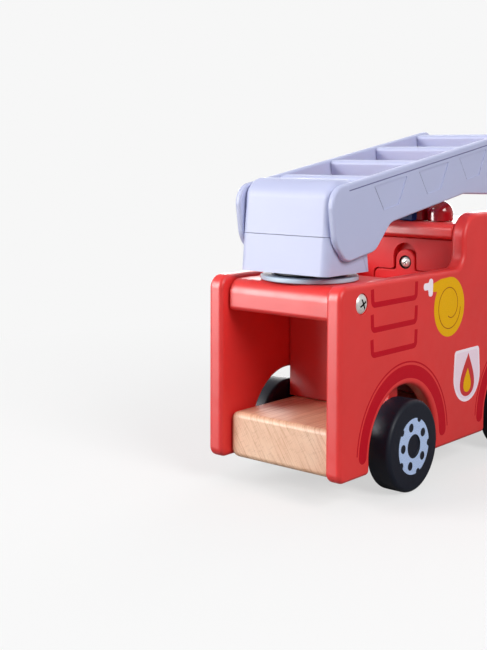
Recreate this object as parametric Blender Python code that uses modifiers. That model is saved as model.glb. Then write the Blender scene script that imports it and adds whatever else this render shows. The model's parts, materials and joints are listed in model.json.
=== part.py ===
"""Toy fire engine: a wooden body between two side panels, on four wheels, with a turning, tilting ladder.

Frame: +Z up, ground at z = 0, X = 0 on the centre line, Y = 0 half-way along the length, bumper included.
The front faces -Y and the rear faces +Y. Every size below is in millimetres; the helpers turn it into metres.
Lengthwise places are given as s, the distance forward from the rear edge of the side panels.
"""

import math

import bmesh
import bpy
from mathutils import Matrix, Vector

MM = 0.001
GAP = 0.3

# Driving dimensions
WIDTH = 84.0
LENGTH = 235.0
BUMPER_DEPTH = 6.7
PANEL_T = 9.0
PANEL_BOTTOM = 15.0
DECK_LEVEL = 112.0
CAB_LEVEL = 142.2
SHOULDER_S = 121.0
WHEEL_R = 24.2
WHEEL_T = 14.0
WHEEL_PROUD = 5.3
REAR_WHEEL_S = 60.0
FRONT_WHEEL_S = 180.0
ARCH_R = 32.2
FLOOR_TOP = 39.2
TILT_REST = math.radians(9.0)
PIVOT_S = 27.0
PIVOT_Z = 145.7
TURRET_S = 32.5

# Derived dimensions
OVERALL = LENGTH + GAP + BUMPER_DEPTH
INNER_HALF = WIDTH / 2 - PANEL_T
BOARD_HALF = INNER_HALF - GAP
WHEEL_FACE_X = WIDTH / 2 + WHEEL_PROUD
WHEEL_X = WHEEL_FACE_X - WHEEL_T / 2

# Wooden boards
EDGE_R = 2.2
BEVEL_STEPS = 1
DECK_START, DECK_END = 5.0, 68.0
DECK_BOTTOM, DECK_TOP = 93.6, 110.0
BAY_WALL_S, WELL_WALL_S, INNER_WALL_T = 63.3, 113.8, 8.6
WELL_FLOOR_T = 8.6
FLOOR_START, FLOOR_END = 7.1, 222.0
WALL_START, WALL_END = 127.0, 136.0
ROOF_START, ROOF_END = 123.2, 201.0
ROOF_BOTTOM, ROOF_TOP = 126.9, 136.0
NOSE_START, NOSE_END, NOSE_TOP = 207.0, 233.0, 84.7
SEAT_START, SEAT_END, SEAT_TOP, SEAT_HALF = 136.6, 158.0, 58.7, 25.0

# Bracket in the cab's rear wall
BRACKET_HALF, BRACKET_TOP, BRACKET_BOTTOM = 21.0, 107.2, 96.7
TAB_R, TAB_Z = 6.5, 112.9
TAB_HOLE_Z = 111.9
ARCH_POCKET_R, ARCH_POCKET_Z = 7.8, 115.6
POCKET_DEPTH = 4.6
BRACKET_INSET = 0.4

# Fasteners, axles and dowels
SIDE_SCREW = {"head_r": 5.1, "head_h": 2.6, "shank_r": 1.9, "length": 24.0}
SIDE_SCREW_SEAT = 2.0
BRACKET_SCREW = {"head_r": 3.0, "head_h": 1.9, "shank_r": 1.1, "length": 6.4}
BRACKET_SCREW_SEAT, BRACKET_SEAT_R = 1.6, 4.0
SIDE_SCREW_PLACES = (("deck", 18.6, 102.2), ("roof", 172.0, (ROOF_BOTTOM + ROOF_TOP) / 2))
AXLE_R, AXLE_HALF = 2.4, 41.6
DOWEL_R, DOWEL_IN, DOWEL_OUT = 3.0, 8.0, 5.5
DOWEL_S = (17.0, 119.7)
DOWEL_Z = 27.1

# Beacons and the ladder rest on the roof
BEACON_R, BEACON_H, BEACON_S = 7.4, 12.1, 140.5
BEACON_SPIGOT_R, BEACON_SPIGOT_H = 2.5, 5.0
REST_HALF, REST_START, REST_END, REST_TOP = 4.8, 127.6, 132.4, 149.5

# Turntable and turret
DISC_R, DISC_TOP = 25.7, 112.7
BEARING_R, TURRET_BOTTOM = 19.0, 115.1
SEAM_Z = 134.5
TURRET_REAR = 9.7
TURRET_TOP_HALF, TURRET_FOOT_HALF = 26.4, 27.9
HUMP_R = 17.5
TURRET_SEAM_S, TURRET_FOOT_S, TURRET_NOSE = 35.0, 44.3, 4.6
BOLT_R, BOLT_HEAD_R, BOLT_HEAD_H, BOLT_TOP = 3.0, 6.0, 3.6, 128.7
BOLT_CLEAR_R = BOLT_R + 0.4
WASHER_R, WASHER_T = 8.5, 0.9
BOLT_POCKET_R, BOLT_POCKET_H = 9.5, 5.6

# Ladder, in its own frame: a runs forward from the pivot and v runs up, both along the tilted ladder
RAIL_IN, RAIL_OUT = 27.7, 31.3
RAIL_TOP, RAIL_LOW, RAIL_END = 16.0, -10.9, 182.0
RUNG_FIRST, RUNG_PITCH, RUNG_COUNT = 21.7, 47.9, 4
RUNG_T, RUNG_H, RUNG_V = 7.0, 9.6, 10.6
LEDGE_IN, LEDGE_START, LEDGE_H = 25.0, 64.0, 2.0
EXT_START, EXT_END = 66.0, 206.0
EXT_OUT, EXT_IN, EXT_LOW, EXT_TOP = 27.2, 24.2, -8.2, 3.6
EXT_RUNG_FIRST, EXT_RUNG_PITCH, EXT_RUNG_T = 76.0, 40.0, 5.0
PIN_R, PIN_HALF = 2.5, 29.4

# Wheel arches, window and outline of the side panels
SHOULDER_R, CAB_CORNER_R = 9.0, 15.0
WINDSCREEN_FOOT = (212.0, 92.7)
WINDSCREEN_HEAD = (200.0, CAB_LEVEL)
BUMPER_HALF, BUMPER_LOW, BUMPER_HIGH = 39.0, 17.7, 30.7
LIGHT_R, LIGHT_X, LIGHT_Z = 7.0, 20.0, 58.7


def y_at(s):
    """World y, in millimetres, of a place s forward of the panels' rear edge."""
    return OVERALL / 2 - s


# ---------------------------------------------------------------- scene and materials


def clear_scene():
    for obj in list(bpy.data.objects):
        bpy.data.objects.remove(obj, do_unlink=True)


def collection(name):
    made = bpy.data.collections.new(name)
    bpy.context.scene.collection.children.link(made)
    return made


def material(name, colour, roughness, metallic=0.0):
    made = bpy.data.materials.new(name)
    made.use_nodes = True
    shader = made.node_tree.nodes["Principled BSDF"]
    shader.inputs["Base Color"].default_value = (*colour, 1.0)
    shader.inputs["Roughness"].default_value = roughness
    shader.inputs["Metallic"].default_value = metallic
    return made


clear_scene()
PARTS = collection("toy_fire_engine")
CUTTERS = collection("cutters")
RED = material("red_paint", (0.62, 0.045, 0.04), 0.45)
BEECH = material("natural_beech", (0.80, 0.56, 0.36), 0.6)
LILAC = material("lilac_plastic", (0.55, 0.60, 0.82), 0.35)
NAVY = material("navy_paint", (0.012, 0.018, 0.045), 0.35)
BEACON_RED = material("dark_red_gloss", (0.33, 0.008, 0.015), 0.2)
CREAM = material("cream_paint", (0.85, 0.80, 0.62), 0.4)
STEEL = material("zinc_steel", (0.72, 0.72, 0.70), 0.3, 1.0)


def moving_empty(name, location, tilt=0.0, parent=None):
    """An empty on a joint's axis; location is in world millimetres, so a parent may only be unrotated."""
    empty = bpy.data.objects.new(name, None)
    empty.empty_display_size = 0.02
    PARTS.objects.link(empty)
    base = Vector(location) * MM
    if parent:
        empty.parent = parent
        base -= parent.location
    empty.location = base
    empty.rotation_euler = (-tilt, 0.0, 0.0)
    return empty


# ---------------------------------------------------------------- shape helpers


def finish(obj, name, finish_material, cutter=False):
    obj.name = name
    obj.data.name = name
    obj.data.materials.clear()
    if finish_material:
        obj.data.materials.append(finish_material)
    for owner in list(obj.users_collection):
        owner.objects.unlink(obj)
    (CUTTERS if cutter else PARTS).objects.link(obj)
    if cutter:
        obj.hide_render = True
        obj.display_type = "WIRE"
    return obj


def mesh_from(bm, name, finish_material=None, cutter=False):
    bmesh.ops.recalc_face_normals(bm, faces=bm.faces)
    mesh = bpy.data.meshes.new(name)
    bm.to_mesh(mesh)
    bm.free()
    obj = bpy.data.objects.new(name, mesh)
    bpy.context.scene.collection.objects.link(obj)
    mesh.shade_smooth()
    mesh.set_sharp_from_angle(angle=math.radians(35))
    return finish(obj, name, finish_material, cutter)


def bevel(obj, width, steps=BEVEL_STEPS):
    """Rounds every sharp edge."""
    modifier = obj.modifiers.new("rounding", "BEVEL")
    modifier.width = width * MM
    modifier.segments = steps
    modifier.limit_method = "ANGLE"
    modifier.angle_limit = math.radians(40)
    return obj


def cut(obj, cutter, operation="DIFFERENCE"):
    modifier = obj.modifiers.new(cutter.name, "BOOLEAN")
    modifier.operation = operation
    modifier.object = cutter
    return obj


def box(name, low, high, finish_material=None, rounding=0.0, cutter=False):
    """A box between two corners, in world millimetres."""
    low, high = Vector(low), Vector(high)
    bm = bmesh.new()
    bmesh.ops.create_cube(bm, size=1.0)
    bmesh.ops.scale(bm, vec=(high - low) * MM, verts=bm.verts)
    obj = mesh_from(bm, name, finish_material, cutter)
    obj.location = (low + high) / 2 * MM
    if rounding:
        bevel(obj, rounding)
    return obj


def rod(name, radius, x_low, x_high, y, z, finish_material=None, steps=24, cutter=False):
    """A cylinder along X."""
    bm = bmesh.new()
    depth = (x_high - x_low) * MM
    radius *= MM
    bmesh.ops.create_cone(bm, cap_ends=True, segments=steps, radius1=radius, radius2=radius, depth=depth)
    bmesh.ops.rotate(bm, matrix=Matrix.Rotation(math.pi / 2, 3, "Y"), verts=bm.verts)
    obj = mesh_from(bm, name, finish_material, cutter)
    obj.location = Vector(((x_low + x_high) / 2, y, z)) * MM
    return obj


def post(name, radius, centre, z_low, z_high, steps=24):
    """A cutting cylinder along Z."""
    bm = bmesh.new()
    depth = (z_high - z_low) * MM
    radius *= MM
    bmesh.ops.create_cone(bm, cap_ends=True, segments=steps, radius1=radius, radius2=radius, depth=depth)
    obj = mesh_from(bm, name, cutter=True)
    obj.location = Vector((*centre, (z_low + z_high) / 2)) * MM
    return obj


def turned(name, profile, finish_material, steps=32):
    """A turned solid about local Z from (radius, height) points, listed from the bottom up its outside."""
    bm = bmesh.new()
    verts = [bm.verts.new((radius * MM, 0.0, height * MM)) for radius, height in reversed(profile)]
    for start, end in zip(verts, verts[1:]):
        bm.edges.new((start, end))
    mesh = bpy.data.meshes.new(name)
    bm.to_mesh(mesh)
    bm.free()
    obj = bpy.data.objects.new(name, mesh)
    bpy.context.scene.collection.objects.link(obj)
    screw = obj.modifiers.new("turning", "SCREW")
    screw.steps = steps
    screw.render_steps = steps
    screw.use_merge_vertices = True
    screw.merge_threshold = 0.00001
    screw.use_smooth_shade = True
    return finish(obj, name, finish_material)


def rounded(corners, step=math.radians(22.5)):
    """The points of an outline whose corners (x, y, radius) are rounded to their radius."""
    points = []
    for before, corner, after in zip(corners[-1:] + corners[:-1], corners, corners[1:] + corners[:1]):
        here = Vector(corner[:2])
        if not corner[2]:
            points.append(here)
            continue
        back = (Vector(before[:2]) - here).normalized()
        ahead = (Vector(after[:2]) - here).normalized()
        half = back.angle(ahead) / 2
        centre = here + (back + ahead).normalized() * corner[2] / math.sin(half)
        start = here + back * corner[2] / math.tan(half) - centre
        turn = start.angle_signed(here + ahead * corner[2] / math.tan(half) - centre)
        count = max(2, round(abs(turn) / step))
        for i in range(count + 1):
            points.append(centre + start @ Matrix.Rotation(turn * i / count, 2))
    return points


def arc(centre, radius, start, end, count):
    """Points on a circle from one angle to another, in degrees."""
    angles = (math.radians(start + (end - start) * i / count) for i in range(count + 1))
    return [Vector((centre[0] + radius * math.cos(a), centre[1] + radius * math.sin(a))) for a in angles]


def plate(name, outlines, x_low, x_high, finish_material=None, cutter=False, s_origin=0.0, z_origin=0.0):
    """A plate from outlines in (forward, up), from x_low to x_high. Later outlines are holes in the first."""
    curve = bpy.data.curves.new(name, "CURVE")
    curve.dimensions = "2D"
    curve.fill_mode = "BOTH"
    curve.extrude = (x_high - x_low) / 2 * MM
    for outline in outlines:
        spline = curve.splines.new("POLY")
        spline.points.add(len(outline) - 1)
        for point, (forward, up) in zip(spline.points, outline):
            point.co = ((forward - s_origin) * MM, (up - z_origin) * MM, 0.0, 1.0)
        spline.use_cyclic_u = True
    flat = bpy.data.objects.new(name, curve)
    bpy.context.scene.collection.objects.link(flat)
    flat.location = Vector(((x_low + x_high) / 2, y_at(s_origin), z_origin)) * MM
    flat.rotation_euler = (math.pi / 2, 0.0, -math.pi / 2)
    bpy.context.view_layer.update()
    mesh = bpy.data.meshes.new_from_object(flat.evaluated_get(bpy.context.evaluated_depsgraph_get()))
    solid = bmesh.new()
    solid.from_mesh(mesh)
    bmesh.ops.remove_doubles(solid, verts=solid.verts, dist=0.00001)
    bpy.data.meshes.remove(mesh)
    placed = flat.matrix_world.copy()
    bpy.data.objects.remove(flat)
    obj = mesh_from(solid, name, finish_material, cutter)
    obj.matrix_world = placed
    return obj


def rectangle(s_low, s_high, z_low, z_high, radii=(0, 0, 0, 0)):
    """Corners of a rectangle: rear low, front low, front high, rear high, with those radii."""
    places = ((s_low, z_low), (s_high, z_low), (s_high, z_high), (s_low, z_high))
    return rounded([(s, z, radius) for (s, z), radius in zip(places, radii)])


# ---------------------------------------------------------------- body


def arch_points(wheel_s):
    """The wheel arch's edge, from its front foot over the top to its rear foot."""
    centre = (wheel_s - 0.6, WHEEL_R - 0.9)
    rim = arc(centre, ARCH_R, 0, 180, 16)
    foot_front = Vector((centre[0] + ARCH_R, PANEL_BOTTOM))
    foot_rear = Vector((centre[0] - ARCH_R, PANEL_BOTTOM))
    return [foot_front, *rim, foot_rear]


def panel_outline():
    foot_s, foot_z = WINDSCREEN_FOOT
    head_s, head_z = WINDSCREEN_HEAD
    upper = [
        (LENGTH, PANEL_BOTTOM, 7.0),
        (LENGTH, foot_z - 5.0, 12.0),
        (foot_s, foot_z, 6.0),
        (head_s, head_z, 12.0),
        (SHOULDER_S, CAB_LEVEL, CAB_CORNER_R),
        (SHOULDER_S, DECK_LEVEL, SHOULDER_R),
        (0.0, DECK_LEVEL, 7.0),
        (0.0, PANEL_BOTTOM, 5.0),
    ]
    bottom = list(reversed(arch_points(REAR_WHEEL_S))) + list(reversed(arch_points(FRONT_WHEEL_S)))
    return rounded(upper) + bottom


def window_outline():
    return rounded([(153.0, 95.7, 6.0), (202.0, 95.7, 6.0), (196.0, 121.2, 6.0), (153.0, 121.2, 6.0)])


def side_panel(side):
    """One side of the body. side is -1 for the vehicle's right and +1 for its left."""
    name = "side_panel_left" if side > 0 else "side_panel_right"
    low, high = sorted((side * INNER_HALF, side * WIDTH / 2))
    panel = plate(name, [panel_outline(), window_outline()], low, high, RED, z_origin=PANEL_BOTTOM)
    bevel(panel, EDGE_R)
    for label, s, z in SIDE_SCREW_PLACES:
        clear_r = SIDE_SCREW["shank_r"] + GAP
        cut(panel, rod(f"{label}_clear_{name}", clear_r, low - 1, high + 1, y_at(s), z, cutter=True))
        seat_low, seat_high = sorted((side * (WIDTH / 2 - SIDE_SCREW_SEAT), side * (WIDTH / 2 + 1)))
        seat_r = SIDE_SCREW["head_r"] + GAP
        cut(panel, rod(f"{label}_seat_{name}", seat_r, seat_low, seat_high, y_at(s), z, cutter=True))
    for i, s in enumerate(DOWEL_S):
        hole_low, hole_high = sorted((side * (INNER_HALF - 1), side * (INNER_HALF + DOWEL_OUT + 0.5)))
        hole_r = DOWEL_R + GAP
        cut(panel, rod(f"dowel_{i}_{name}", hole_r, hole_low, hole_high, y_at(s), DOWEL_Z, cutter=True))
    return panel


def floor_block():
    block = box(
        "floor_block",
        (-BOARD_HALF, y_at(FLOOR_END), PANEL_BOTTOM),
        (BOARD_HALF, y_at(FLOOR_START), FLOOR_TOP),
        BEECH,
        rounding=2.6,
    )
    for label, s in (("rear", REAR_WHEEL_S), ("front", FRONT_WHEEL_S)):
        cut(block, rod(f"{label}_axle_bore", AXLE_R + 0.4, -40, 40, y_at(s), WHEEL_R, cutter=True))
    for i, s in enumerate(DOWEL_S):
        for side in (-1, 1):
            low, high = sorted((side * (INNER_HALF - DOWEL_IN - 2), side * (INNER_HALF + 2)))
            name = f"block_dowel_{i}_{'l' if side > 0 else 'r'}"
            cut(block, rod(name, DOWEL_R + GAP, low, high, y_at(s), DOWEL_Z, cutter=True))
    return block


def dowels():
    for label, s in zip(("rear", "middle"), DOWEL_S):
        for side, word in ((-1, "right"), (1, "left")):
            low, high = sorted((side * (INNER_HALF - DOWEL_IN), side * (INNER_HALF + DOWEL_OUT)))
            rod(f"{label}_dowel_{word}", DOWEL_R, low, high, y_at(s), DOWEL_Z, BEECH, steps=16)


def rear_deck():
    outline = rectangle(DECK_START, DECK_END, DECK_BOTTOM, DECK_TOP, (2.2, 2.0, 3.0, 7.5))
    deck = plate("rear_deck", [outline], -BOARD_HALF, BOARD_HALF, RED, z_origin=DECK_BOTTOM)
    centre = (0.0, y_at(TURRET_S))
    cut(deck, post("bolt_clear", BOLT_CLEAR_R, centre, DECK_BOTTOM - 1, DECK_TOP + 1))
    pocket_top = DECK_BOTTOM + BOLT_POCKET_H
    cut(deck, post("bolt_pocket", BOLT_POCKET_R, centre, DECK_BOTTOM - 1, pocket_top, steps=32))
    screw_holes(deck, *SIDE_SCREW_PLACES[0])
    return deck


def screw_holes(board, label, s, z):
    """Blind holes in both ends of a board for the screws that come through the panels."""
    depth = SIDE_SCREW["length"] - PANEL_T + 2.5
    hole_r = SIDE_SCREW["shank_r"] + GAP
    for side, word in ((-1, "right"), (1, "left")):
        low, high = sorted((side * (BOARD_HALF - depth), side * (BOARD_HALF + 1)))
        cut(board, rod(f"{label}_pilot_{word}", hole_r, low, high, y_at(s), z, cutter=True))


def inner_boards():
    """The wall at the front of the rear bay, and the board and wall that close the well behind the cab."""
    half = INNER_WALL_T / 2
    board_top = DECK_BOTTOM - GAP
    board_low = board_top - WELL_FLOOR_T
    boards = (
        ("bay_wall", BAY_WALL_S - half, BAY_WALL_S + half, FLOOR_TOP + GAP, board_top),
        ("well_floor", BAY_WALL_S + half + GAP, WALL_START - GAP, board_low, board_top),
        ("well_wall", WELL_WALL_S - half, WELL_WALL_S + half, FLOOR_TOP + GAP, board_low - GAP),
    )
    for name, start, end, low, high in boards:
        plate(name, [rectangle(start, end, low, high)], -BOARD_HALF, BOARD_HALF, RED, z_origin=low)


def bracket_outline(grow, tab_r, tab_z):
    """The bracket's front view, in (x, z): a low plate with a round tab in its middle."""
    foot_half = BRACKET_HALF + grow
    top = BRACKET_TOP + grow
    foot = [
        (tab_r, top, 1.2),
        (foot_half, top, 3.5),
        (foot_half, BRACKET_BOTTOM - grow, 2.0),
        (-foot_half, BRACKET_BOTTOM - grow, 2.0),
        (-foot_half, top, 3.5),
        (-tab_r, top, 1.2),
    ]
    corners = [(-tab_r, tab_z, 0), *reversed(foot), (tab_r, tab_z, 0)]
    return rounded(corners) + arc((0.0, tab_z), tab_r, 0, 180, 12)[1:-1]


def across(name, outline, s_low, s_high, finish_material=None, cutter=False):
    """A flat outline in (x, z), from s_low to s_high, which faces the rear."""
    obj = plate(name, [outline], -(s_high - s_low) / 2, (s_high - s_low) / 2, finish_material, cutter)
    obj.rotation_euler = (math.pi / 2, 0.0, 0.0)
    obj.location = Vector((0.0, y_at((s_low + s_high) / 2), 0.0)) * MM
    return obj


def cab_rear_wall():
    wall = box(
        "cab_rear_wall",
        (-BOARD_HALF, y_at(WALL_END), FLOOR_TOP + GAP),
        (BOARD_HALF, y_at(WALL_START), ROOF_BOTTOM - GAP),
        RED,
        rounding=0.8,
    )
    pocket = bracket_outline(0.6, ARCH_POCKET_R, ARCH_POCKET_Z)
    cut(wall, across("bracket_pocket", pocket, WALL_START - 1, WALL_START + POCKET_DEPTH, cutter=True))
    hole = rod("bracket_pilot", BRACKET_SCREW["shank_r"] + GAP, -4.6, 4.6, 0, 0, steps=16, cutter=True)
    hole.rotation_euler = (0.0, 0.0, math.pi / 2)
    hole.location = Vector((0.0, y_at(WALL_START + POCKET_DEPTH - 0.6), TAB_HOLE_Z)) * MM
    return cut(wall, hole)


def wall_bracket():
    start = WALL_START + BRACKET_INSET
    end = WALL_START + POCKET_DEPTH - GAP
    bracket = across("wall_bracket", bracket_outline(0.0, TAB_R, TAB_Z), start, end, RED)
    bevel(bracket, 0.6, 1)
    clear_r = BRACKET_SCREW["shank_r"] + GAP
    for name, radius, depth in (
        ("bracket_seat", BRACKET_SEAT_R, BRACKET_SCREW_SEAT),
        ("bracket_clear", clear_r, POCKET_DEPTH + 1.4),
    ):
        hole = rod(name, radius, -depth, depth, 0, 0, steps=24, cutter=True)
        hole.rotation_euler = (0.0, 0.0, math.pi / 2)
        hole.location = Vector((0.0, y_at(start), TAB_HOLE_Z)) * MM
        cut(bracket, hole)
    return bracket


def cab_roof():
    outline = rectangle(ROOF_START, ROOF_END, ROOF_BOTTOM, ROOF_TOP, (2.0, 3.5, 4.0, 4.2))
    roof = plate("cab_roof", [outline], -BOARD_HALF, BOARD_HALF, RED, z_origin=ROOF_BOTTOM)
    for word, x in beacon_places():
        centre = (x, y_at(BEACON_S))
        hole_bottom = ROOF_TOP - BEACON_SPIGOT_H - 0.6
        cut(roof, post(f"beacon_hole_{word}", BEACON_SPIGOT_R + GAP, centre, hole_bottom, ROOF_TOP + 1))
    screw_holes(roof, *SIDE_SCREW_PLACES[1])
    return roof


def cab_nose():
    corners = [
        (FLOOR_END + GAP, PANEL_BOTTOM + GAP, 1.0),
        (NOSE_END, PANEL_BOTTOM + GAP, 4.0),
        (NOSE_END, NOSE_TOP, 11.0),
        (NOSE_START, NOSE_TOP, 3.0),
        (NOSE_START, FLOOR_TOP + GAP, 1.0),
        (FLOOR_END + GAP, FLOOR_TOP + GAP, 0),
    ]
    nose = plate("cab_nose", [rounded(corners)], -BOARD_HALF, BOARD_HALF, RED, z_origin=PANEL_BOTTOM)
    for word, x in (("right", -LIGHT_X), ("left", LIGHT_X)):
        hole = rod(f"light_hole_{word}", BEACON_SPIGOT_R + GAP, -5.6, 5.6, 0, 0, steps=20, cutter=True)
        hole.rotation_euler = (0.0, 0.0, math.pi / 2)
        hole.location = Vector((x, y_at(NOSE_END), LIGHT_Z)) * MM
        cut(nose, hole)
    return nose


def beacon_places():
    return (("right", -2 * BEACON_R - 0.4), ("middle", 0.0), ("left", 2 * BEACON_R + 0.4))


def beacons():
    side_h = BEACON_H - BEACON_R
    dome = [(p.x, p.y) for p in arc((0.0, side_h), BEACON_R, 0, 90, 4)]
    spigot = [(0.0, -BEACON_SPIGOT_H), (BEACON_SPIGOT_R, -BEACON_SPIGOT_H), (BEACON_SPIGOT_R, 0.0)]
    profile = [*spigot, (BEACON_R, 0.0), *dome[:-1], (0.0, BEACON_H)]
    for word, x in beacon_places():
        beacon = turned(f"beacon_{word}", profile, BEACON_RED, steps=20)
        beacon.location = Vector((x, y_at(BEACON_S), ROOF_TOP + GAP)) * MM


def headlights():
    profile = [
        (0.0, -5.0),
        (BEACON_SPIGOT_R, -5.0),
        (BEACON_SPIGOT_R, 0.0),
        (LIGHT_R, 0.0),
        (LIGHT_R, 1.6),
        (LIGHT_R - 1.0, 2.6),
        (0.0, 3.0),
    ]
    for word, x in (("right", -LIGHT_X), ("left", LIGHT_X)):
        light = turned(f"headlight_{word}", profile, CREAM, steps=20)
        light.location = Vector((x, y_at(NOSE_END + GAP), LIGHT_Z)) * MM
        light.rotation_euler = (math.pi / 2, 0.0, 0.0)


def cab_fittings():
    box(
        "ladder_rest",
        (-REST_HALF, y_at(REST_END), ROOF_TOP + GAP),
        (REST_HALF, y_at(REST_START), REST_TOP),
        NAVY,
        rounding=1.0,
    )
    box(
        "driver_seat",
        (-SEAT_HALF, y_at(SEAT_END), FLOOR_TOP + GAP),
        (SEAT_HALF, y_at(SEAT_START), SEAT_TOP),
        BEECH,
        rounding=2.0,
    )
    front = y_at(LENGTH + GAP)
    box(
        "front_bumper",
        (-BUMPER_HALF, front - BUMPER_DEPTH, BUMPER_LOW),
        (BUMPER_HALF, front, BUMPER_HIGH),
        LILAC,
        rounding=2.4,
    )


# ---------------------------------------------------------------- fasteners


def screw_profile(sizes):
    """A pan-head screw, point down, with the underside of its head at height 0."""
    head_r, head_h = sizes["head_r"], sizes["head_h"]
    shank_r, length = sizes["shank_r"], sizes["length"]
    return [
        (0.0, -length),
        (shank_r * 0.6, 1.6 * shank_r - length),
        (shank_r, 2.6 * shank_r - length),
        (shank_r, 0.0),
        (head_r, 0.0),
        (head_r, head_h * 0.35),
        (head_r * 0.86, head_h * 0.75),
        (head_r * 0.5, head_h * 0.97),
        (0.0, head_h),
    ]


def side_screws():
    for label, s, z in SIDE_SCREW_PLACES:
        for side, word in ((-1, "right"), (1, "left")):
            screw = turned(f"{label}_screw_{word}", screw_profile(SIDE_SCREW), STEEL, steps=16)
            screw.location = Vector((side * (WIDTH / 2 - SIDE_SCREW_SEAT + GAP), y_at(s), z)) * MM
            screw.rotation_euler = (0.0, side * math.pi / 2, 0.0)


def bracket_screw():
    screw = turned("bracket_screw", screw_profile(BRACKET_SCREW), STEEL, steps=14)
    seat_s = WALL_START + BRACKET_INSET + BRACKET_SCREW_SEAT - GAP
    screw.location = Vector((0.0, y_at(seat_s), TAB_HOLE_Z)) * MM
    screw.rotation_euler = (-math.pi / 2, 0.0, 0.0)


# ---------------------------------------------------------------- wheels


def wheel_profile():
    """Half section of a wheel about local Z, with its outer face up."""
    half = WHEEL_T / 2
    rim = [(WHEEL_R - 2.0, -half), (WHEEL_R - 0.5, -half + 0.6), (WHEEL_R, -half + 2.0)]
    outer = [(WHEEL_R, half - 2.0), (WHEEL_R - 0.5, half - 0.6), (WHEEL_R - 2.0, half)]
    hub = [(6.2, half), (5.4, half - 1.8), (0.0, half - 1.8)]
    bore = [(0.0, half - 5.2), (AXLE_R + GAP, half - 5.2), (AXLE_R + GAP, -half)]
    return [*bore, *rim, *outer, *hub]


def axle_set(label, s):
    """An axle and its two wheels, which turn together."""
    spin = moving_empty(f"{label}_axle_spin", (0.0, y_at(s), WHEEL_R))
    axle = rod(f"{label}_axle", AXLE_R, -AXLE_HALF, AXLE_HALF, 0.0, 0.0, STEEL, steps=20)
    axle.parent = spin
    for side, word in ((-1, "right"), (1, "left")):
        wheel = turned(f"{label}_wheel_{word}", wheel_profile(), NAVY, steps=32)
        wheel.parent = spin
        wheel.location = Vector((side * WHEEL_X, 0.0, 0.0)) * MM
        wheel.rotation_euler = (0.0, side * math.pi / 2, 0.0)


# ---------------------------------------------------------------- turntable and turret


def turn_in_place(obj, spin):
    """Parents a piece that is already in its world place to an unrotated empty."""
    obj.parent = spin
    obj.location -= spin.location


def turntable():
    centre = Vector((0.0, y_at(TURRET_S), 0.0)) * MM
    low, high = DECK_TOP + GAP, DISC_TOP
    profile = [
        (BOLT_CLEAR_R, high),
        (BOLT_CLEAR_R, low),
        (DISC_R - 0.7, low),
        (DISC_R, low + 0.7),
        (DISC_R, high - 0.7),
        (DISC_R - 0.7, high),
        (BOLT_CLEAR_R, high),
    ]
    turned("turntable_disc", profile, LILAC, steps=36).location = centre


def turret_block(name, outlines, spin):
    """A block of the turret from its side outline, whose sides lean in from foot to top."""
    block = plate(name, outlines, -TURRET_FOOT_HALF, TURRET_FOOT_HALF, LILAC, s_origin=TURRET_S)
    reach = SEAM_Z - TURRET_BOTTOM
    for vert in block.data.vertices:
        height = vert.co.y / MM
        lean = min(1.0, max(0.0, (height - TURRET_BOTTOM) / reach))
        half = TURRET_FOOT_HALF + (TURRET_TOP_HALF - TURRET_FOOT_HALF) * lean
        vert.co.z = math.copysign(half * MM, vert.co.z)
    turn_in_place(block, spin)
    return block


def turret(spin):
    bend_s, bend_z = TURRET_SEAM_S, SEAM_Z
    foot_s, foot_z = TURRET_FOOT_S, TURRET_BOTTOM
    base_outline = rounded(
        [
            (TURRET_REAR, foot_z, 0.0),
            (foot_s, foot_z, 0.0),
            (bend_s, bend_z, 7.0),
            (TURRET_REAR, bend_z, 0.0),
        ]
    )
    base = turret_block("turret_base", [base_outline], spin)
    bevel(base, 2.0)
    hump = arc((PIVOT_S, PIVOT_Z), HUMP_R, 0, 90, 6)
    cap_outline = rounded(
        [
            (TURRET_REAR, SEAM_Z + GAP, 0.0),
            (bend_s + 0.1, SEAM_Z + GAP, 7.0),
            (foot_s + GAP, foot_z, 0.0),
            (foot_s + TURRET_NOSE, foot_z, 0.0),
            (hump[0].x, hump[0].y, 0.0),
        ]
    )
    rear_round = arc((TURRET_REAR + 11.0, PIVOT_Z + HUMP_R - 11.0), 11.0, 90, 180, 4)
    cap = turret_block("turret_cap", [cap_outline + hump[1:] + rear_round], spin)
    bevel(cap, 2.0)
    bore = post("turret_thread", BOLT_R + GAP, (0.0, y_at(TURRET_S)), TURRET_BOTTOM - 1, BOLT_TOP + 0.6)
    cut(base, bore)
    cut(cap, rod("pin_bore", PIN_R + GAP, -40, 40, y_at(PIVOT_S), PIVOT_Z, cutter=True))
    return base, cap


def ring(name, inner, outer, low, high, finish_material, steps):
    """A flat ring about local Z."""
    profile = [(inner, high), (inner, low), (outer, low), (outer, high), (inner, high)]
    return turned(name, profile, finish_material, steps)


def turret_hardware(spin):
    centre = Vector((0.0, y_at(TURRET_S), 0.0)) * MM
    bearing = ring(
        "turret_bearing", BOLT_CLEAR_R, BEARING_R, DISC_TOP + GAP, TURRET_BOTTOM - GAP, NAVY, steps=28
    )
    washer_low = DECK_BOTTOM + BOLT_POCKET_H - GAP - WASHER_T
    washer = ring("turret_washer", BOLT_CLEAR_R, WASHER_R, washer_low, washer_low + WASHER_T, STEEL, steps=24)
    head_top = washer_low - GAP
    head_low = head_top - BOLT_HEAD_H
    bolt_profile = [
        (0.0, head_low),
        (BOLT_HEAD_R - 1.2, head_low + 0.2),
        (BOLT_HEAD_R, head_low + 1.8),
        (BOLT_HEAD_R, head_top),
        (BOLT_R, head_top),
        (BOLT_R, BOLT_TOP - 1.0),
        (BOLT_R - 1.0, BOLT_TOP),
        (0.0, BOLT_TOP),
    ]
    bolt = turned("turret_bolt", bolt_profile, STEEL, steps=18)
    for piece in (bearing, washer, bolt):
        piece.location = centre
        turn_in_place(piece, spin)


# ---------------------------------------------------------------- ladder


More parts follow.
